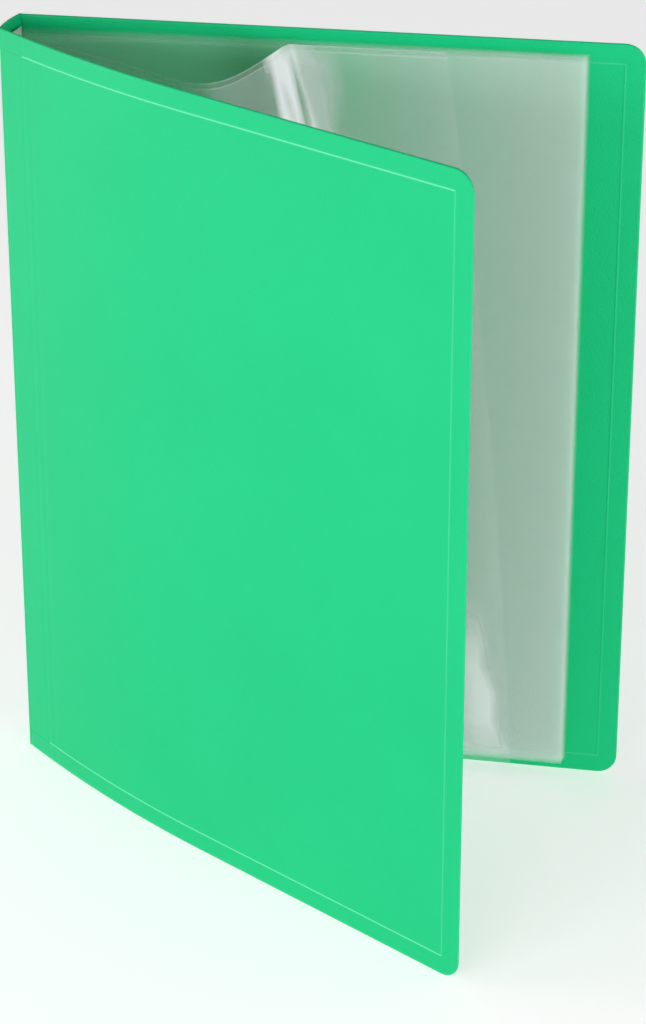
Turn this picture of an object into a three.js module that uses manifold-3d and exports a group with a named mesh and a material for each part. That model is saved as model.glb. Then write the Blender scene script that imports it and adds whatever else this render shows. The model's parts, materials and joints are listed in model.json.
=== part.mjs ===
// A4 display book, standing upright and half open: a soft polypropylene cover made of three panels
// (front cover, spine, back cover) that fold at two creases, and a block of clear top-loading
// pockets fixed to the inside of the spine.
// Millimetres, +Z up. The album is drawn in plan around its back crease, with the back cover lying
// along +X and the covers opening towards -Y, and is then moved so that its origin is the middle
// of its bounding box at floor level.

import * as THREE from 'three';
import { mergeVertices } from 'three/addons/utils/BufferGeometryUtils.js';
import Module from 'manifold-3d';

const wasm = await Module();
wasm.setup();

// The sheets of paper that the pockets are made for
const PAPER_WIDTH = 210;
const PAPER_HEIGHT = 297;

// Cover
const COVER_TOP_MARGIN = 4.5;   // from the pockets up to the cover's top edge
const COVER_BOTTOM_MARGIN = 5.5;
const COVER_SIDE_MARGIN = 20.5; // from the pockets' free edges to the cover's free edge
const SPINE_WIDTH = 20;         // from crease to crease
const SHEET_THICKNESS = 0.9;
const CORNER_RADIUS = 8;
const SPINE_CROWN = 0.8;        // how far the middle of the spine stands outwards
const CREASE_GAP = 0.3;         // between a cover's rounded hinge edge and the spine

// How the covers stand at rest
const SPINE_ANGLE = 96;         // inside angle between the back cover and the spine, degrees
const FRONT_OPENING = 32;       // between the back cover and the flat part of the front cover, degrees
const FRONT_BEND_TURN = 10.5;   // how far the front cover bends beside its crease, degrees
const FRONT_BEND_LENGTH = 110;  // length of that bend, along the sheet

// Pockets
const POCKET_COUNT = 20;
const POCKET_SIDE_ROOM = 8;     // how much wider than the paper a pocket is, welds included
const POCKET_TOP_ROOM = 3;      // how much higher than the paper a pocket is
const MOUTH_STEP = 2;           // the front film of a pocket ends this much below its back film
const FILM_THICKNESS = 0.06;
const SLOT_THICKNESS = 0.1;     // room for a sheet, between the two films of a pocket
const POCKET_GAP = 0.1;         // between neighbouring pockets at their free edges
const STACK_GAP = 0.3;          // between the last pocket's free edge and the back cover

// The first pocket is bowed. Its inner part stands off the stack, its outer part lies on the stack
// and has slid towards the spine, and the film that crosses from one to the other is left out.
const BOW_LIFT = 33;            // between the stack and the inner part, degrees
const BOW_INNER_WIDTH = 94;
const BOW_OUTER_WIDTH = 62;
const BOW_SLIP = 46;            // from the free edge's flat place to where the bow draws it

// Binding strip, and where the pockets leave it
const STRIP_THICKNESS = 0.5;
const STRIP_GAP = 0.3;          // between the strip and the spine, and between the pockets and the strip
const STRIP_EDGE = 0.8;         // how far the strip runs past the outermost pockets
const BACK_ROOT_INSET = 2.2;    // from the back crease to the last pocket, along the spine
const FRONT_ROOT_INSET = 3.4;   // from the front crease to the first pocket, along the spine

// Colours
const COVER_GREEN = 0x21c67a;
const FILM_COLOUR = 0xc8d6d0;
const STRIP_COLOUR = 0xb9c9c2;
const FILM_OPACITY = 0.35;

// How finely the rounds are divided, and how close two points are to count as one
const ARC_SEGMENTS = 14;
const WELD_TOLERANCE = 1e-5;

const radians = THREE.MathUtils.degToRad;

// Sizes that follow from those above
const stripFace = SHEET_THICKNESS / 2 + STRIP_GAP;
const rootDepth = stripFace + STRIP_THICKNESS + STRIP_GAP;
const rootSpan = SPINE_WIDTH - BACK_ROOT_INSET - FRONT_ROOT_INSET;
const pocketWidth = PAPER_WIDTH + POCKET_SIDE_ROOM;
const pocketHeight = PAPER_HEIGHT + POCKET_TOP_ROOM;
const pocketThickness = 2 * FILM_THICKNESS + SLOT_THICKNESS;
const coverWidth = rootDepth + pocketWidth + COVER_SIDE_MARGIN;
const coverHeight = COVER_BOTTOM_MARGIN + pocketHeight + COVER_TOP_MARGIN;

function plastic(color, roughness) {
  return new THREE.MeshStandardMaterial({ color, roughness, metalness: 0 });
}

function clearFilm() {
  const material = plastic(FILM_COLOUR, 0.25);
  material.transparent = true;
  material.opacity = FILM_OPACITY;
  return material;
}

function part(name, geometry, material) {
  const mesh = new THREE.Mesh(geometry, material);
  mesh.name = name;
  return mesh;
}

function toManifold(geometry) {
  const bare = geometry.clone();
  bare.deleteAttribute('normal');
  bare.deleteAttribute('uv');
  const merged = mergeVertices(bare, WELD_TOLERANCE);
  const mesh = new wasm.Mesh({
    numProp: 3,
    vertProperties: new Float32Array(merged.attributes.position.array),
    triVerts: new Uint32Array(merged.index.array),
  });
  return new wasm.Manifold(mesh);
}

function fromManifold(solid) {
  const mesh = solid.getMesh();
  const geometry = new THREE.BufferGeometry();
  geometry.setAttribute('position', new THREE.BufferAttribute(mesh.vertProperties, 3));
  geometry.setIndex(new THREE.BufferAttribute(mesh.triVerts, 1));
  geometry.computeVertexNormals();
  return geometry;
}

function extrude(shape, depth) {
  return new THREE.ExtrudeGeometry(shape, { depth, bevelEnabled: false, curveSegments: ARC_SEGMENTS });
}

// Plan outline of a cover panel, with its crease axis at the origin and its sheet leaving along +X.
// The sheet bends to the left through `turn` radians over `bendLength`, and is flat from there on.
// The crease edge is rounded about its axis.
function coverOutline(turn, bendLength) {
  const half = SHEET_THICKNESS / 2;
  const quarterTurn = Math.PI / 2;
  const flat = coverWidth - bendLength;
  const radius = turn > 0 ? bendLength / turn : 0;
  const along = new THREE.Vector2(Math.cos(turn), Math.sin(turn));
  const across = new THREE.Vector2(-along.y, along.x);
  const outline = new THREE.Shape();
  outline.moveTo(0, -half);
  outline.absarc(0, 0, half, -quarterTurn, quarterTurn, true);
  if (turn > 0) {
    outline.absarc(0, radius, radius - half, -quarterTurn, turn - quarterTurn, false);
  }
  const bendEnd = new THREE.Vector2(radius * Math.sin(turn), radius * (1 - Math.cos(turn)));
  const flatEnd = bendEnd.clone().addScaledVector(along, flat);
  outline.lineTo(flatEnd.x + across.x * half, flatEnd.y + across.y * half);
  outline.lineTo(flatEnd.x - across.x * half, flatEnd.y - across.y * half);
  if (turn > 0) {
    outline.absarc(0, radius, radius + half, turn - quarterTurn, -quarterTurn, true);
  }
  return { outline, bendEnd, flat };
}

// What is cut away outside the round of a cover's bottom free corner, as a prism across the sheet.
// Its local x runs along the flat part of the sheet from the end of the bend.
function cornerWaste(flat) {
  const margin = 2;
  const depth = SHEET_THICKNESS + 2 * margin;
  const shape = new THREE.Shape();
  shape.moveTo(flat - CORNER_RADIUS, 0);
  shape.absarc(flat - CORNER_RADIUS, CORNER_RADIUS, CORNER_RADIUS, -Math.PI / 2, 0, false);
  shape.lineTo(flat + margin, CORNER_RADIUS);
  shape.lineTo(flat + margin, -margin);
  shape.lineTo(flat - CORNER_RADIUS, -margin);
  const geometry = extrude(shape, depth);
  geometry.translate(0, 0, -depth / 2);
  geometry.rotateX(Math.PI / 2);
  return geometry;
}

function coverPanel(turn, bendLength) {
  const { outline, bendEnd, flat } = coverOutline(turn, bendLength);
  const bottomWaste = cornerWaste(flat);
  bottomWaste.rotateZ(turn);
  bottomWaste.translate(bendEnd.x, bendEnd.y, 0);
  const waste = toManifold(bottomWaste);
  const topWaste = waste.mirror([0, 0, 1]).translate([0, 0, coverHeight]);
  const panel = toManifold(extrude(outline, coverHeight));
  return fromManifold(panel.subtract(waste).subtract(topWaste));
}

// The spine in its own frame: x runs from the back crease to the front crease, +y points inwards.
function spinePanel() {
  const half = SHEET_THICKNESS / 2;
  const end = half + CREASE_GAP;
  const halfChord = SPINE_WIDTH / 2 - end;
  const radius = (halfChord ** 2 + SPINE_CROWN ** 2) / (2 * SPINE_CROWN);
  const sweep = Math.asin(halfChord / radius);
  const centreY = radius - SPINE_CROWN;
  const middle = SPINE_WIDTH / 2;
  const down = -Math.PI / 2;
  const outline = new THREE.Shape();
  outline.absarc(middle, centreY, radius + half, down - sweep, down + sweep, false);
  outline.absarc(middle, centreY, radius - half, down + sweep, down - sweep, true);
  return extrude(outline, coverHeight);
}

// The strip, in the spine's frame, lies flat against the inside of the spine behind the pockets.
function bindingStrip() {
  const length = rootSpan + 2 * STRIP_EDGE;
  const strip = new THREE.BoxGeometry(length, STRIP_THICKNESS, pocketHeight);
  const middle = BACK_ROOT_INSET + rootSpan / 2;
  strip.translate(middle, stripFace + STRIP_THICKNESS / 2, COVER_BOTTOM_MARGIN + pocketHeight / 2);
  return strip;
}

// One film of a pocket, in the pocket's frame, where x runs away from the binding.
function pocketFilm(side, height, start, end) {
  const sheet = new THREE.BoxGeometry(end - start, FILM_THICKNESS, height);
  const offset = (SLOT_THICKNESS + FILM_THICKNESS) / 2;
  sheet.translate((start + end) / 2, side * offset, COVER_BOTTOM_MARGIN + height / 2);
  return sheet;
}

// The two films of a pocket, or of a part of one. The slot between them is open at the top.
function addFilms(group, start, end) {
  const front = pocketFilm(-1, pocketHeight - MOUTH_STEP, start, end);
  const back = pocketFilm(1, pocketHeight, start, end);
  group.add(part(`${group.name}_front_film`, front, clearFilm()));
  group.add(part(`${group.name}_back_film`, back, clearFilm()));
}

// A pocket's place: pocket 1 is next to the front cover and the last one is next to the back cover.
// It leans from its place on the spine to its place in the stack on the back cover.
function placedPocket(number, spine) {
  const fromBack = POCKET_COUNT - number;
  const rootPitch = rootSpan / Math.max(POCKET_COUNT - 1, 1);
  const root = new THREE.Vector3(BACK_ROOT_INSET + fromBack * rootPitch, rootDepth, 0);
  spine.localToWorld(root);
  const stackStart = SHEET_THICKNESS / 2 + STACK_GAP + pocketThickness / 2;
  const stackPlace = -(stackStart + fromBack * (pocketThickness + POCKET_GAP));
  const lean = Math.asin((stackPlace - root.y) / pocketWidth);

  const group = new THREE.Group();
  group.name = `pocket_${String(number).padStart(2, '0')}`;
  group.position.copy(root);
  group.rotation.z = lean;
  return group;
}

function flatPocket(number, spine) {
  const group = placedPocket(number, spine);
  addFilms(group, 0, pocketWidth);
  return group;
}

function bowedPocket(number, spine) {
  const inner = placedPocket(number, spine);
  inner.rotation.z -= radians(BOW_LIFT);
  addFilms(inner, 0, BOW_INNER_WIDTH);

  const outer = placedPocket(number, spine);
  outer.name = `${inner.name}_outer`;
  const freeEdge = pocketWidth - BOW_SLIP;
  addFilms(outer, freeEdge - BOW_OUTER_WIDTH, freeEdge);
  return [inner, outer];
}

const album = new THREE.Group();

const spine = new THREE.Group();
spine.name = 'spine_unit';
spine.rotation.z = -radians(SPINE_ANGLE);
spine.add(part('spine', spinePanel(), plastic(COVER_GREEN, 0.5)));
spine.add(part('pocket_binding_strip', bindingStrip(), plastic(STRIP_COLOUR, 0.4)));
spine.updateMatrixWorld();

const backCover = new THREE.Group();
backCover.name = 'back_cover_unit';
backCover.add(part('back_cover', coverPanel(0, 0), plastic(COVER_GREEN, 0.5)));

const frontCover = new THREE.Group();
frontCover.name = 'front_cover_unit';
frontCover.position.copy(spine.localToWorld(new THREE.Vector3(SPINE_WIDTH, 0, 0)));
frontCover.rotation.z = -radians(FRONT_OPENING + FRONT_BEND_TURN);
const frontPanel = coverPanel(radians(FRONT_BEND_TURN), FRONT_BEND_LENGTH);
frontCover.add(part('front_cover', frontPanel, plastic(COVER_GREEN, 0.5)));

album.add(spine, backCover, frontCover);
album.add(...bowedPocket(1, spine));
for (let number = 2; number <= POCKET_COUNT; number++) {
  album.add(flatPocket(number, spine));
}

const bounds = new THREE.Box3().setFromObject(album, true);
const centre = bounds.getCenter(new THREE.Vector3());
album.position.set(-centre.x, -centre.y, -bounds.min.z);

export default album;
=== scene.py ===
import json
import math
import random

import bpy
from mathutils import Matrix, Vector


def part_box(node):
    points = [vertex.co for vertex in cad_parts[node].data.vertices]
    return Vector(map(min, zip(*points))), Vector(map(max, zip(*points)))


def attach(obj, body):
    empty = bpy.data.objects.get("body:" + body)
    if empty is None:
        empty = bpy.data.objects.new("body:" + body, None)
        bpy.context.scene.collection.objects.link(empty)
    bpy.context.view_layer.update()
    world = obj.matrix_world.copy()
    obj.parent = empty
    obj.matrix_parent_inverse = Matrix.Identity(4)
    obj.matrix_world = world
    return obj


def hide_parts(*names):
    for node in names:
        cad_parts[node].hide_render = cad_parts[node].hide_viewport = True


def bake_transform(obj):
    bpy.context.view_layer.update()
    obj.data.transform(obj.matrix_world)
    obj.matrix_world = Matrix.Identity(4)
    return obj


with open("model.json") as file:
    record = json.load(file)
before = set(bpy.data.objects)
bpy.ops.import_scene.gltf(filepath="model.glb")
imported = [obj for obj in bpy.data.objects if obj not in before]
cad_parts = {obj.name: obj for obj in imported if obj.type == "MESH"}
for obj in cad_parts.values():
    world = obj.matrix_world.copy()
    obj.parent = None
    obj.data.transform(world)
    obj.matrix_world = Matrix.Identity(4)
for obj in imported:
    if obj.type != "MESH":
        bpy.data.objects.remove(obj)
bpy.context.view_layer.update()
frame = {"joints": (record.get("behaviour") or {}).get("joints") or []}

# A soft plastic display book, standing half open. Metres, in the frame's own axes: the back cover
# lies along +X, the covers open towards -Y and the album stands on z = 0.

MM = 0.001

# Cover sheet
SHEET = 0.9 * MM
CORNER_RADIUS = 8 * MM
FRONT_LEAVES = math.radians(-42.5)   # direction of the front cover where it leaves its crease
FRONT_BEND = math.radians(10.5)      # how far it bends back beside the crease
FRONT_BEND_LENGTH = 110 * MM
SPINE_CROWN = 0.8 * MM
BORDER_INSET = 7.8 * MM              # the line that is embossed round the free edges
BORDER_HALF_WIDTH = 0.45 * MM
BORDER_DEPTH = 0.16 * MM
SCORES = (15 * MM, 19.5 * MM)        # two faint lines beside the crease, where the cover flexes
SCORE_HALF_WIDTH = 0.8 * MM
SCORE_DEPTH = 0.07 * MM
GROOVE_PLACE = 1.2 * MM              # the crease's groove, from the crease axis
GROOVE_HALF_WIDTH = 0.7 * MM
GROOVE_DEPTH = 0.12 * MM
ROUND_EDGE = 0.4 * MM                # width over which the sheet's edges are rounded off
EDGE_FULLNESS = 0.45                 # share of the thickness that is left at the very edge
FOLD_STEPS = 6                       # faces round a half-round crease edge

# Binding strip
STRIP_WIDTH = 16 * MM
STRIP_THICKNESS = 0.5 * MM
STRIP_EDGE = 0.8 * MM
DIMPLE_ROW = 5.6 * MM                # from the strip's middle line to each row of weld dimples
DIMPLE_PITCH = 6 * MM
DIMPLE_RADIUS = 1.6 * MM
DIMPLE_DEPTH = 0.12 * MM

# Pockets
POCKET_COUNT = 20
POCKET_WIDTH = 218 * MM
STACK_PITCH = 0.32 * MM
STACK_FIRST = 0.86 * MM              # from the back cover's middle plane to the last pocket
FILM_SPACE = 0.16 * MM               # from a pocket's front film to its back film
MOUTH_STEP = 2 * MM
WELD_WIDTH = 1.6 * MM
CLOSING_LENGTH = 3 * MM              # over this length the two films of a bag come together at a weld
FAN_LENGTH = 58 * MM                 # over this length a pocket leaves the binding for the stack
WIDTH_SPREAD = 0.7 * MM              # how much narrower a pocket may be cut
WAVE_HEIGHT = 0.03 * MM              # the films lie very slightly wavy
WAVE_ACROSS = 31 * MM
WAVE_UP = 43 * MM
FILM_HAZE = 0.024                    # opacity of one film where it is haziest
OPEN_POCKETS = (2, POCKET_COUNT)     # the outermost ones of the stack, whose films stand apart

# The bowed first pocket: control points of its plan curve at the top and at the bottom, in mm, as
# (along the back cover, in front of it) from the back crease
BOW_TOP = ((87, 49), (86, 105), (105.5, 7.6))
BOW_BOTTOM = ((95, 60), (102, 84), (195, 19.5))
BOW_STEPS = 160

JOINTS = {joint["name"]: joint for joint in frame["joints"]}


def joint_place(name):
    return Vector(JOINTS[name]["pos_m"])


BACK_CREASE = joint_place("back_cover_hinge")
FRONT_CREASE = joint_place("front_cover_hinge")
BACK_LOW, BACK_HIGH = (Vector(corner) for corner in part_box("back_cover"))
COVER_HEIGHT = BACK_HIGH.z - BACK_LOW.z
COVER_WIDTH = BACK_HIGH.x - BACK_CREASE.x
FILM_LOW, FILM_HIGH = (Vector(corner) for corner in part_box("pocket_10_back_film"))


# ---------------------------------------------------------------- mesh helpers

def make_object(name, vertices, faces, material, smooth=True, body=None, stands_for=()):
    mesh = bpy.data.meshes.new(name)
    mesh.from_pydata([tuple(v) for v in vertices], [], faces)
    mesh.update()
    for polygon in mesh.polygons:
        polygon.use_smooth = smooth
    mesh.materials.append(material)
    piece = bpy.data.objects.new(name, mesh)
    bpy.context.scene.collection.objects.link(piece)
    if body:
        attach(piece, body)
    if stands_for:
        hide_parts(*stands_for)
    return piece


def grid_faces(columns, rows, first=0, flip=False):
    faces = []
    for i in range(columns - 1):
        for j in range(rows - 1):
            a = first + i * rows + j
            quad = (a, a + rows, a + rows + 1, a + 1)
            faces.append(quad[::-1] if flip else quad)
    return faces


def smoothstep(value):
    value = min(max(value, 0.0), 1.0)
    return value * value * (3 - 2 * value)


def bump(distance, half_width):
    """1 in the middle, 0 at half_width and beyond."""
    return smoothstep(1 - abs(distance) / half_width)


def plateau(value, start, end, edge):
    """1 between start and end, with soft edges outside them."""
    return smoothstep((value - start + edge) / edge) * smoothstep((end + edge - value) / edge)


# ---------------------------------------------------------------- cover

# Grid lines inside a free edge, closest about the embossed line
EDGE_INSETS = [v * MM for v in (0, 0.4, 1, 2, 3.2, 4.6, 6,
                                7.0, 7.35, 7.6, 7.8, 8.0, 8.25, 8.6, 9.6, 11, 12.5)]
CORNER_ZONE = EDGE_INSETS[-1]


def round_corner(a, b):
    """Moves a point near a square corner onto rings round the true corner.
    a and b are its distances inside the corner's two edges."""
    d = min(a, b)
    if max(a, b) >= CORNER_ZONE or d >= CORNER_RADIUS:
        return a, b
    path = 2 * (CORNER_ZONE - d)
    share = ((CORNER_ZONE - a) if b <= a else (CORNER_ZONE - d + b - d)) / path
    straight = CORNER_ZONE - CORNER_RADIUS
    radius = CORNER_RADIUS - d
    arc = radius * math.pi / 2
    place = share * (2 * straight + arc)
    if place < straight:
        return CORNER_ZONE - place, d
    if place > straight + arc:
        return d, CORNER_RADIUS + place - straight - arc
    turn = (place - straight) / radius
    return CORNER_RADIUS - radius * math.sin(turn), CORNER_RADIUS - radius * math.cos(turn)


def spaced(start, end, step):
    """Even places from start to end, about one step apart."""
    count = max(2, round((end - start) / step))
    return [start + (end - start) * i / count for i in range(count + 1)]


def cover_lines():
    """The places across the sheet, from the crease, and up it, where its grid has lines."""
    near_crease = [v * MM for v in (0, 0.5, 0.8, 1.2, 1.6, 2.1, 3, 5, 9, 13)]
    near_scores = []
    for score in SCORES:
        near_scores += [score + v * MM for v in (-0.8, -0.35, 0, 0.35, 0.8)]
    across = near_crease + near_scores + spaced(24 * MM, COVER_WIDTH - CORNER_ZONE - 4 * MM, 6 * MM)
    across += [COVER_WIDTH - inset for inset in reversed(EDGE_INSETS)]
    up = EDGE_INSETS + spaced(CORNER_ZONE + 4 * MM, COVER_HEIGHT - CORNER_ZONE - 4 * MM, 12 * MM)
    up += [COVER_HEIGHT - inset for inset in reversed(EDGE_INSETS)]
    return across, up


def relief(s, a, z):
    """How far the outside of the sheet lies below flat: the border line, the scores and the crease."""
    inset = min(a, z, COVER_HEIGHT - z)
    depth = BORDER_DEPTH * bump(inset - BORDER_INSET, BORDER_HALF_WIDTH)
    for score in SCORES:
        depth = max(depth, SCORE_DEPTH * bump(s - score, SCORE_HALF_WIDTH))
    return max(depth, GROOVE_DEPTH * bump(s - GROOVE_PLACE, GROOVE_HALF_WIDTH))


def cover_point(s, z, offset, crease, direction, turn, bend_length):
    """A point of a cover: s from the crease along the sheet, offset to the left of that direction."""
    bent = min(s, bend_length) if bend_length else 0
    heading = direction + (turn * bent / bend_length if bend_length else 0)
    x, y = crease.x, crease.y
    if bend_length:
        radius = bend_length / turn
        x += radius * (math.sin(heading) - math.sin(direction))
        y -= radius * (math.cos(heading) - math.cos(direction))
    straight = s - bent
    x += straight * math.cos(heading) - offset * math.sin(heading)
    y += straight * math.sin(heading) + offset * math.cos(heading)
    return Vector((x, y, z))


def cover_panel(name, body, crease, direction, turn, bend_length, outside, material):
    """A cover as a closed sheet with round edges. outside is -1 where its outer face is on the right."""
    across, up = cover_lines()
    half = SHEET / 2
    vertices = []
    columns, rows = len(across), len(up)
    for side in (-1, 1):
        for s in across:
            for z in up:
                a = COVER_WIDTH - s
                low = z < COVER_HEIGHT / 2
                inset_z = z if low else COVER_HEIGHT - z
                round_a, round_z = round_corner(a, inset_z) if s > COVER_WIDTH / 2 else (a, inset_z)
                ring = min(round_a, round_z, a, inset_z)
                depth = relief(s, a, z)
                offset = side * half - outside * depth
                edge = min(ring / ROUND_EDGE, 1)
                offset *= EDGE_FULLNESS + (1 - EDGE_FULLNESS) * math.sqrt(1 - (1 - edge) ** 2)
                place_s = COVER_WIDTH - round_a
                place_z = round_z if low else COVER_HEIGHT - round_z
                vertices.append(cover_point(place_s, place_z, offset, crease, direction, turn, bend_length))
    count = columns * rows
    faces = grid_faces(columns, rows, 0, flip=False)
    faces += grid_faces(columns, rows, count, flip=True)

    def bridge(loop):
        for i in range(len(loop) - 1):
            a, b = loop[i], loop[i + 1]
            faces.append((b, a, a + count, b + count))

    bottom = [i * rows for i in range(columns)]
    free = [(columns - 1) * rows + j for j in range(rows)]
    top = [i * rows + rows - 1 for i in reversed(range(columns))]
    bridge(bottom + free[1:] + top[1:])

    # Round the crease edge about the crease axis, so that the sheet turns there like a fold
    previous = list(range(rows))
    for k in range(1, FOLD_STEPS):
        angle = -math.pi / 2 - math.pi * k / FOLD_STEPS
        line = []
        for z in up:
            offset, back = half * math.sin(angle), half * math.cos(angle)
            place = cover_point(0, z, offset, crease, direction, turn, bend_length)
            place += Vector((math.cos(direction), math.sin(direction), 0)) * back
            line.append(len(vertices))
            vertices.append(place)
        for j in range(rows - 1):
            faces.append((previous[j], previous[j + 1], line[j + 1], line[j]))
        previous = line
    last = [count + j for j in range(rows)]
    for j in range(rows - 1):
        faces.append((previous[j], previous[j + 1], last[j + 1], last[j]))
    for j in (0, rows - 1):
        fan = [j] + [2 * count + k * rows + j for k in range(FOLD_STEPS - 1)] + [count + j]
        faces.append(tuple(fan if j == 0 else reversed(fan)))
    piece = make_object(name, vertices, faces, material, body=body,
                        stands_for=(body,))
    press_marks_and_highlight(piece, across, up, outside)
    return piece


def press_marks_and_highlight(piece, stations, levels, outside):
    """Marks where the sheet was pressed, with a painted highlight: the border line is paler, most of all
    along top and bottom, where it stands for light catching the line.
    """
    side_strength = 0.35
    inside_strength = 0.25
    outer, inner = [], []
    for s in stations:
        for z in levels:
            up_or_down = min(z, COVER_HEIGHT - z)
            inset = min(COVER_WIDTH - s, up_or_down)
            # Paler pressed line with a painted highlight: full along top and bottom, weaker on the free
            # side.
            press_highlight = bump(inset - BORDER_INSET, BORDER_HALF_WIDTH) if s > SCORES[0] else 0.0
            press_highlight *= 1.0 if up_or_down < COVER_WIDTH - s else side_strength
            outer.append(press_highlight)
            inner.append(inside_strength * press_highlight)
    values = outer + inner if outside < 0 else inner + outer
    values += [0.0] * (len(piece.data.vertices) - len(values))
    layer = piece.data.attributes.new("press_and_highlight", "FLOAT", "POINT")
    layer.data.foreach_set("value", values)


def spine_panel(material):
    """The spine, a sheet with a slight crown, with round edges inside the covers' round edges."""
    clearance = 0.01 * MM
    half = SHEET / 2 - clearance
    span = FRONT_CREASE - BACK_CREASE
    span.z = 0
    width = span.length
    along = span.normalized()
    inward = Vector((-along.y, along.x, 0))
    steps = 24
    edge_level = 0.25 * MM
    edge_share = 0.7
    profile = []
    for i in range(steps + 1):
        share = i / steps
        crown = -SPINE_CROWN * (1 - (2 * share - 1) ** 2)
        profile.append((share * width, crown))
    outline = [(x, y - half) for x, y in profile]
    for k in range(1, FOLD_STEPS):
        angle = -math.pi / 2 + math.pi * k / FOLD_STEPS
        outline.append((width + half * math.cos(angle), half * math.sin(angle)))
    outline += [(x, y + half) for x, y in reversed(profile)]
    for k in range(1, FOLD_STEPS):
        angle = math.pi / 2 + math.pi * k / FOLD_STEPS
        outline.append((half * math.cos(angle), half * math.sin(angle)))
    levels = [0, edge_level] + spaced(4 * MM, COVER_HEIGHT - 4 * MM, 20 * MM)
    levels += [COVER_HEIGHT - edge_level, COVER_HEIGHT]
    vertices = []
    for z in levels:
        pinch = edge_share if z in (levels[0], levels[-1]) else 1.0
        for x, y in outline:
            crown = -SPINE_CROWN * max(0, 1 - (2 * x / width - 1) ** 2)
            place = BACK_CREASE + along * x + inward * (crown + (y - crown) * pinch)
            vertices.append(Vector((place.x, place.y, z)))
    ring = len(outline)
    faces = []
    for level in range(len(levels) - 1):
        for i in range(ring):
            a, b = level * ring + i, level * ring + (i + 1) % ring
            faces.append((a, b, b + ring, a + ring))
    faces.append(tuple(reversed(range(ring))))
    faces.append(tuple(range((len(levels) - 1) * ring, len(levels) * ring)))
    return make_object("spine_skin", vertices, faces, material, body="spine",
                       stands_for=("spine",))


# ---------------------------------------------------------------- binding strip

def binding_strip(material):
    """The welded edge of the pocket block: a thin strip with a row of weld dimples on each side."""
    low, high = (Vector(corner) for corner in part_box("pocket_binding_strip"))
    span = FRONT_CREASE - BACK_CREASE
    span.z = 0
    along = span.normalized()
    inward = Vector((-along.y, along.x, 0))
    middle = (low + high) / 2
    columns = spaced(-STRIP_WIDTH / 2, STRIP_WIDTH / 2, 0.8 * MM)
    levels = spaced(low.z, high.z, 1.5 * MM)
    vertices = []
    for side in (-1, 1):
        for x in columns:
            for z in levels:
                edge = min(STRIP_WIDTH / 2 - abs(x), z - low.z, high.z - z)
                offset = STRIP_THICKNESS / 2 * (0.5 + 0.5 * min(edge / STRIP_EDGE, 1))
                from_row = abs(abs(x) - DIMPLE_ROW)
                along_row = abs((z - low.z) % DIMPLE_PITCH - DIMPLE_PITCH / 2)
                if edge > STRIP_EDGE:
                    offset -= DIMPLE_DEPTH * bump(math.hypot(from_row, along_row), DIMPLE_RADIUS)
                place = middle + along * x + inward * side * offset
                vertices.append(Vector((place.x, place.y, z)))
    count = len(columns) * len(levels)
    rows = len(levels)
    faces = grid_faces(len(columns), rows, 0)
    faces += grid_faces(len(columns), rows, count, flip=True)
    loop = [i * rows for i in range(len(columns))]
    loop += [(len(columns) - 1) * rows + j for j in range(1, rows)]
    loop += [i * rows + rows - 1 for i in reversed(range(len(columns) - 1))]
    loop += [j for j in reversed(range(rows - 1))]
    for a, b in zip(loop, loop[1:]):
        faces.append((b, a, a + count, b + count))
    return make_object("pocket_binding", vertices, faces, material, body="spine",
                       stands_for=("pocket_binding_strip",))


# ---------------------------------------------------------------- pockets

def film_levels(top):
    """The heights of a film's grid lines, close together near its bottom and its top."""
    bottom = FILM_LOW.z
    near = [v * MM for v in (0, 0.8, 1.6, 2.4)]
    middle = spaced(bottom + 6 * MM, top - 6 * MM, 12 * MM)
    return [bottom + v for v in near] + middle + [top - v for v in reversed(near)]


def film_stations(width):
    """The grid lines across a film, from the binding, close together near its two sides."""
    near = [v * MM for v in (0, 0.8, 1.6, 2.4)]
    return near + spaced(5 * MM, width - 5 * MM, 5 * MM) + [width - v for v in reversed(near)]


def set_haze(piece, values):
    """Gives each point of a film its opacity."""
    layer = piece.data.attributes.new("haze_and_painted_light", "FLOAT", "POINT")
    layer.data.foreach_set("value", values)


def film_haze_and_shade(s, z):
    """The haze of one film: strongest in the outer, lower part; thinner towards the binding, which is
    painted shade that leaves the films darker there.
    """
    # Less haze towards the binding is painted shade: the films show darker there.
    outer = 0.24 + 0.76 * smoothstep((s - 95 * MM) / (115 * MM))
    return FILM_HAZE * outer * (1.35 - 0.35 * z / COVER_HEIGHT)


def weld_haze(s, z, width, top):
    """Extra haze on the welds along the free edge and the bottom, and on the cut edge at the mouth."""
    side = bump(width - s - 0.5 * WELD_WIDTH, WELD_WIDTH)
    bottom = bump(z - FILM_LOW.z - 0.5 * WELD_WIDTH, WELD_WIDTH)
    mouth = bump(top - z, 0.9 * MM)
    return max(0.004 * side, 0.008 * bottom, 0.012 * mouth)


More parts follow.
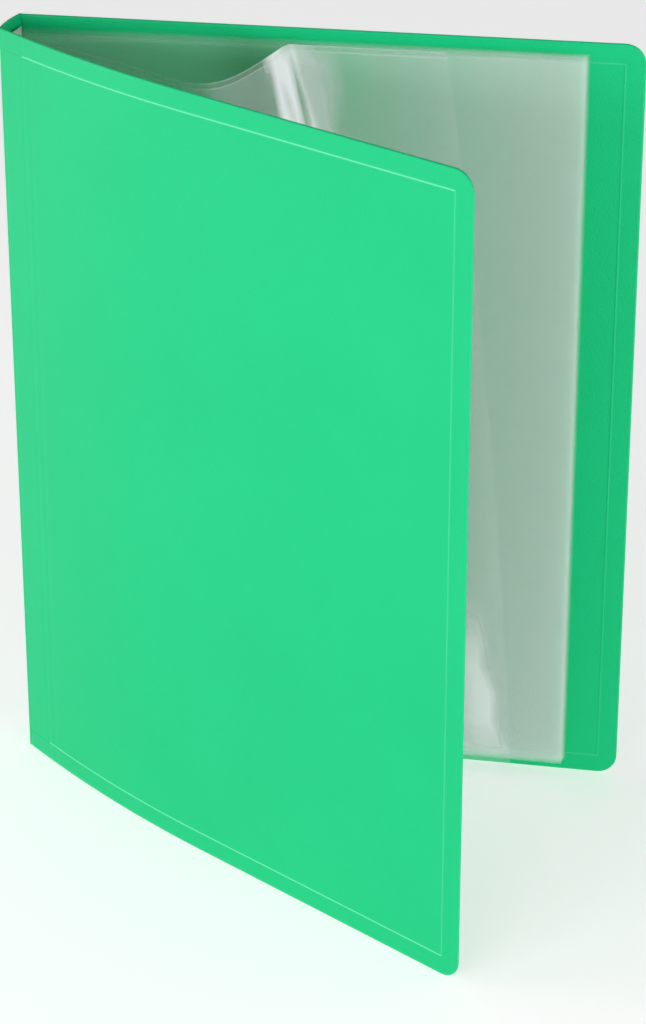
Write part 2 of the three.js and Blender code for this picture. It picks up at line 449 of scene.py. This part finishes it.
def bag(name, place, width, material, extra=None):
    """A pocket: two films that meet along its free edge and its bottom, open along the top.
    place(s, z) gives the middle of the pocket and the way to its front."""
    vertices, haze_and_painted_light, faces = [], [], []
    stations = film_stations(width)
    for side, top in ((1, FILM_HIGH.z - MOUTH_STEP), (-1, FILM_HIGH.z)):
        first = len(vertices)
        levels = film_levels(top)
        for s in stations:
            for z in levels:
                centre, front = place(s, z)
                gape = min((width - s) / CLOSING_LENGTH, (z - FILM_LOW.z) / CLOSING_LENGTH, 1)
                vertices.append(centre + front * (side * FILM_SPACE / 2 * (0.04 + 0.96 * gape)))
                value = film_haze_and_shade(s, z) + weld_haze(s, z, width, top)
                haze_and_painted_light.append(value + (extra(s, z, side) if extra else 0))
        faces += grid_faces(len(stations), len(levels), first, flip=side > 0)
    # Close the bag with narrow faces along its free edge and its bottom
    rows = len(film_levels(FILM_HIGH.z))
    count = len(stations) * rows
    bottom = [i * rows for i in range(len(stations))]
    free = [(len(stations) - 1) * rows + j for j in range(rows)]
    loop = bottom + free[1:]
    for a, b in zip(loop, loop[1:]):
        faces.append((a, b, b + count, a + count))
    piece = make_object(name, vertices, faces, material)
    set_haze(piece, haze_and_painted_light)
    return piece


def pressed_films(name, place, width, material):
    """A pocket whose two films cling together: one sheet, with one film's haze above the mouth."""
    stations = film_stations(width)
    mouth = FILM_HIGH.z - MOUTH_STEP
    levels = film_levels(mouth) + [mouth + 0.1 * MM, FILM_HIGH.z - 0.5 * MM, FILM_HIGH.z]
    vertices = [place(s, z)[0] for s in stations for z in levels]
    haze_and_painted_light = []
    for s in stations:
        for z in levels:
            films = 2 if z <= mouth else 1
            top = mouth if films == 2 else FILM_HIGH.z
            haze_and_painted_light.append(films * (film_haze_and_shade(s, z) + weld_haze(s, z, width, top)))
    faces = grid_faces(len(stations), len(levels))
    piece = make_object(name, vertices, faces, material)
    set_haze(piece, haze_and_painted_light)
    return piece


def flat_pocket(number, material, chance):
    """A pocket of the stack: it leaves the binding, drops to its place on the back cover and lies there."""
    name = f"pocket_{number:02d}"
    root = joint_place(f"{name}_turn")
    stack_y = BACK_CREASE.y - STACK_FIRST - (POCKET_COUNT - number) * STACK_PITCH
    width = POCKET_WIDTH - chance.uniform(0, 1) * WIDTH_SPREAD
    phase = chance.uniform(0, 2 * math.pi)
    phase_up = chance.uniform(0, 2 * math.pi)
    drop = stack_y - root.y

    def place(s, z):
        share = smoothstep(s / FAN_LENGTH)
        wave = WAVE_HEIGHT * math.sin(s / WAVE_ACROSS + phase) * math.sin(z / WAVE_UP + phase_up)
        slope = drop * 6 * (s / FAN_LENGTH) * (1 - s / FAN_LENGTH) / FAN_LENGTH if s < FAN_LENGTH else 0
        front = Vector((slope, -1, 0)).normalized()
        return Vector((root.x + s, root.y + drop * share + wave, z)), front

    if number in OPEN_POCKETS:
        # Pocket 2 gets a painted highlight low down near its free edge.
        extra = painted_fold_highlight if number == 2 else None
        piece = bag(f"{name}_bag", place, width, material, extra)
    else:
        piece = pressed_films(f"{name}_films", place, width, material)
    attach(piece, name)
    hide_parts(f"{name}_front_film", f"{name}_back_film")
    return piece


def painted_fold_highlight(s, z, side):
    """A painted highlight: a soft bright band low down near the free edge, as light on a film lifted off
    the one behind.
    """
    if side < 0:
        return 0
    share = (z - 10 * MM) / (60 * MM)
    edge = 195 * MM - 10 * MM * share
    along = smoothstep((share + 0.05) / 0.15) * smoothstep((1.3 - share) / 0.7)
    inside = edge - s
    across = smoothstep(inside / (2.5 * MM)) * smoothstep((26 * MM - inside) / (20 * MM))
    return 0.85 * along * across


# ---------------------------------------------------------------- the bowed first pocket

def bow_curve(share_up):
    """The first pocket's plan curve at a height: a curve away from the stack and back, then a straight
    run along it. share_up is 0 at the pocket's bottom and 1 at its top."""
    root = joint_place("pocket_01_turn")
    start = Vector(((root.x - BACK_CREASE.x), (BACK_CREASE.y - root.y)))
    down = 1 - share_up
    control = [start]
    for top, bottom in zip(BOW_TOP, BOW_BOTTOM):
        control.append(Vector(top).lerp(Vector(bottom), down) * MM)
    settle = BOW_BOTTOM[-1][1] - BOW_TOP[-1][1]
    control[3].y = (BOW_TOP[-1][1] + settle * down ** 2) * MM
    points = []
    for i in range(BOW_STEPS + 1):
        t = i / BOW_STEPS
        u = 1 - t
        points.append(control[0] * u ** 3 + control[1] * 3 * u * u * t
                      + control[2] * 3 * u * t * t + control[3] * t ** 3)
    points.append(points[-1] + Vector((POCKET_WIDTH, 0)))
    return points


def point_along(points, distance):
    """The point at a distance along a line of points, with the direction there."""
    for a, b in zip(points, points[1:]):
        length = (b - a).length
        if distance <= length:
            return a.lerp(b, distance / length), (b - a) / length
        distance -= length
    return points[-1], (points[-1] - points[-2]).normalized()


bows = {}


def bow_at(z):
    """The bow's points at a height, and the length of film up to where it meets the stack.
    Each height is worked out once."""
    key = round(z, 6)
    if key not in bows:
        share_up = (z - FILM_LOW.z) / (FILM_HIGH.z - FILM_LOW.z)
        points = bow_curve(share_up)
        length = sum((b - a).length for a, b in zip(points[:-2], points[1:-1]))
        bows[key] = {"points": points, "length": length}
    return bows[key]


def bow_haze_and_highlights(s, z, side):
    """Haze of the bowed pocket, and painted highlights of light off the bend: white where the film is
    sharply bent, in soft streaks beside the bend that fade downwards, with a thin veil before them and a
    pale line along the mouth."""
    meets = bow_at(z)["length"]
    fade = smoothstep((z - 215 * MM) / (70 * MM))
    bright = plateau(s, meets - 18 * MM, meets - 5 * MM, 2 * MM)
    line = bump(s - (meets - 11.5 * MM), 1.3 * MM)
    soft = plateau(s, meets + 1 * MM, meets + 9 * MM, 3 * MM)
    second = bump(s - (meets + 14 * MM), 2.5 * MM)
    veil = plateau(s, meets - 45 * MM, meets - 18 * MM, 35 * MM)
    # The bright, soft and second streaks are painted highlights along the bend.
    streaks = fade * (0.9 * bright - 0.4 * line + 0.34 * soft + 0.2 * second + 0.11 * veil)
    mouth = 0.3 * bump(FILM_HIGH.z - z - (MOUTH_STEP if side > 0 else 0), 0.8 * MM)
    return max(streaks, mouth) + 0.03


def bowed_pocket(material):
    """The first pocket: bowed off the stack near the binding, and lying on the stack beyond the bend."""
    def place(s, z):
        spot, way = point_along(bow_at(z)["points"], s)
        middle = Vector((BACK_CREASE.x + spot.x, BACK_CREASE.y - spot.y, z))
        return middle, Vector((-way.y, -way.x, 0))

    piece = bag("pocket_01_bag", place, POCKET_WIDTH, material, bow_haze_and_highlights)
    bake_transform(piece)
    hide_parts("pocket_01_front_film", "pocket_01_back_film",
                "pocket_01_outer_front_film", "pocket_01_outer_back_film")
    return piece


# ---------------------------------------------------------------- materials

def new_material(name):
    """An empty material with one Principled shader."""
    material = bpy.data.materials.new(name)
    material.use_nodes = True
    nodes = material.node_tree.nodes
    nodes.clear()
    output = nodes.new("ShaderNodeOutputMaterial")
    shader = nodes.new("ShaderNodeBsdfPrincipled")
    material.node_tree.links.new(shader.outputs["BSDF"], output.inputs["Surface"])
    return material, nodes, material.node_tree.links, shader


def noise_node(nodes, links, coordinates, scale, detail):
    """Noise in the object's own coordinates, in metres: its spots are about 1/scale across."""
    noise = nodes.new("ShaderNodeTexNoise")
    noise.inputs["Scale"].default_value = scale
    noise.inputs["Detail"].default_value = detail
    links.new(coordinates.outputs["Object"], noise.inputs["Vector"])
    return noise


def range_node(nodes, links, source, low, high):
    """Spreads a value from 0..1 to low..high."""
    spread = nodes.new("ShaderNodeMapRange")
    spread.inputs["To Min"].default_value = low
    spread.inputs["To Max"].default_value = high
    links.new(source, spread.inputs["Value"])
    return spread


def cover_plastic():
    """Solid green polypropylene sheet with a fine grain, a satin finish and a painted highlight along its
    pressed border line.
    """
    material, nodes, links, shader = new_material("cover_plastic")
    coordinates = nodes.new("ShaderNodeTexCoord")
    grain = noise_node(nodes, links, coordinates, 1500, 2)
    cloud = noise_node(nodes, links, coordinates, 14, 3)
    colour = nodes.new("ShaderNodeMix")
    colour.data_type = "RGBA"
    colour.inputs["A"].default_value = (0.002, 0.49, 0.185, 1)
    colour.inputs["B"].default_value = (0.004, 0.54, 0.210, 1)
    links.new(cloud.outputs["Fac"], colour.inputs["Factor"])
    # Painted highlight: the pressed border line is mixed towards a pale green.
    press_and_highlight = nodes.new("ShaderNodeAttribute")
    press_and_highlight.attribute_name = "press_and_highlight"
    press_highlight_colour = nodes.new("ShaderNodeMix")
    press_highlight_colour.data_type = "RGBA"
    press_highlight_colour.inputs["B"].default_value = (0.16, 0.74, 0.42, 1)
    links.new(press_and_highlight.outputs["Fac"], press_highlight_colour.inputs["Factor"])
    links.new(colour.outputs["Result"], press_highlight_colour.inputs["A"])
    links.new(press_highlight_colour.outputs["Result"], shader.inputs["Base Color"])
    rough = range_node(nodes, links, grain.outputs["Fac"], 0.36, 0.48)
    links.new(rough.outputs["Result"], shader.inputs["Roughness"])
    texture = nodes.new("ShaderNodeBump")
    texture.inputs["Strength"].default_value = 1.0
    texture.inputs["Distance"].default_value = 0.00012
    links.new(grain.outputs["Fac"], texture.inputs["Height"])
    links.new(texture.outputs["Normal"], shader.inputs["Normal"])
    shader.inputs["Specular IOR Level"].default_value = 0.17
    return material


def pocket_film():
    """Clear film: its haze, with the painted highlights and painted shade put into it, is the material's
    opacity, and its gloss is slightly uneven.
    """
    material, nodes, links, shader = new_material("pocket_film")
    coordinates = nodes.new("ShaderNodeTexCoord")
    haze_and_painted_light = nodes.new("ShaderNodeAttribute")
    haze_and_painted_light.attribute_name = "haze_and_painted_light"
    # The opacity attribute also carries painted highlights and painted shade.
    links.new(haze_and_painted_light.outputs["Fac"], shader.inputs["Alpha"])
    cloud = noise_node(nodes, links, coordinates, 40, 0)
    rough = range_node(nodes, links, cloud.outputs["Fac"], 0.18, 0.34)
    links.new(rough.outputs["Result"], shader.inputs["Roughness"])
    shader.inputs["Base Color"].default_value = (0.86, 0.88, 0.89, 1)
    return material


def binding_plastic():
    """Welded film: milky and slightly uneven."""
    material, nodes, links, shader = new_material("binding_plastic")
    coordinates = nodes.new("ShaderNodeTexCoord")
    cloud = noise_node(nodes, links, coordinates, 300, 3)
    colour = nodes.new("ShaderNodeMix")
    colour.data_type = "RGBA"
    colour.inputs["A"].default_value = (0.50, 0.60, 0.55, 1)
    colour.inputs["B"].default_value = (0.66, 0.74, 0.70, 1)
    links.new(cloud.outputs["Fac"], colour.inputs["Factor"])
    links.new(colour.outputs["Result"], shader.inputs["Base Color"])
    shader.inputs["Roughness"].default_value = 0.35
    return material


def floor_material():
    """Nearly white paper, which also glows a little so that it stays pale all over."""
    material, nodes, links, shader = new_material("studio_floor")
    coordinates = nodes.new("ShaderNodeTexCoord")
    cloud = noise_node(nodes, links, coordinates, 3, 2)
    colour = nodes.new("ShaderNodeMix")
    colour.data_type = "RGBA"
    colour.inputs["A"].default_value = (0.90, 0.90, 0.90, 1)
    colour.inputs["B"].default_value = (0.92, 0.92, 0.92, 1)
    links.new(cloud.outputs["Fac"], colour.inputs["Factor"])
    links.new(colour.outputs["Result"], shader.inputs["Base Color"])
    shader.inputs["Roughness"].default_value = 0.9
    shader.inputs["Emission Color"].default_value = (1, 1, 1, 1)
    shader.inputs["Emission Strength"].default_value = 0.48
    return material


# ---------------------------------------------------------------- studio

def studio_floor():
    """A wide floor just below the album."""
    size = 6.0
    gap = 0.3 * MM
    corners = [(-size, -size, 0), (size, -size, 0), (size, size, 0), (-size, size, 0)]
    floor = make_object("studio_floor", corners, [(0, 1, 2, 3)], floor_material(), smooth=False)
    floor.location.z = -gap


def area_light(name, place, target, size, power):
    """A softbox at a place, facing a target."""
    data = bpy.data.lights.new(name, "AREA")
    data.shape = "RECTANGLE"
    data.size, data.size_y = size
    data.energy = power
    lamp = bpy.data.objects.new(name, data)
    bpy.context.scene.collection.objects.link(lamp)
    lamp.location = place
    lamp.rotation_euler = (Vector(target) - Vector(place)).to_track_quat("-Z", "Y").to_euler()


def studio_light():
    """A bright surround that is darker overhead, and three softboxes."""
    world = bpy.data.worlds.new("studio")
    bpy.context.scene.world = world
    world.use_nodes = True
    background = world.node_tree.nodes["Background"]
    background.inputs["Color"].default_value = (1, 1, 1, 1)
    nodes, links = world.node_tree.nodes, world.node_tree.links
    coordinates = nodes.new("ShaderNodeTexCoord")
    parts = nodes.new("ShaderNodeSeparateXYZ")
    links.new(coordinates.outputs["Generated"], parts.inputs["Vector"])
    sky = range_node(nodes, links, parts.outputs["Z"], 0.85, 0.05)
    links.new(sky.outputs["Result"], background.inputs["Strength"])
    area_light("front_softbox", (-0.5, -1.1, 0.42), (0, 0, 0.22), (1.1, 0.3), 5.6)
    area_light("left_softbox", (-1.0, -0.1, 0.30), (-0.05, 0, 0.28), (0.4, 0.3), 2)
    area_light("right_softbox", (1.15, -1.0, 0.25), (0.1, 0.07, 0.13), (0.8, 0.45), 10)


def camera():
    """Looks down on the open side of the album from beyond its front cover."""
    data = bpy.data.cameras.new("camera")
    data.sensor_width = 36
    data.lens = 99.74
    data.shift_y = -0.2
    data.clip_start = 0.05
    data.clip_end = 20
    eye = bpy.data.objects.new("camera", data)
    bpy.context.scene.collection.objects.link(eye)
    eye.location = (0.18099, -0.93769, 0.60884)
    down = 0.3799
    right = 0.177
    eye.rotation_euler = (math.pi / 2 - down, 0, right)
    bpy.context.scene.camera = eye


def build():
    """Makes every piece, then the studio. The pockets are made in order, so their random values stay."""
    green = cover_plastic()
    film = pocket_film()
    cover_panel("front_cover_skin", "front_cover", FRONT_CREASE, FRONT_LEAVES, FRONT_BEND,
                FRONT_BEND_LENGTH, -1, green)
    cover_panel("back_cover_skin", "back_cover", BACK_CREASE, 0, 0, 0, 1, green)
    spine_panel(green)
    binding_strip(binding_plastic())
    bowed_pocket(film)
    chance = random.Random(7)
    for number in range(2, POCKET_COUNT + 1):
        flat_pocket(number, film, chance)
    studio_floor()
    studio_light()
    camera()
    scene = bpy.context.scene
    scene.cycles.transparent_max_bounces = 96
    scene.view_settings.view_transform = "Standard"


build()
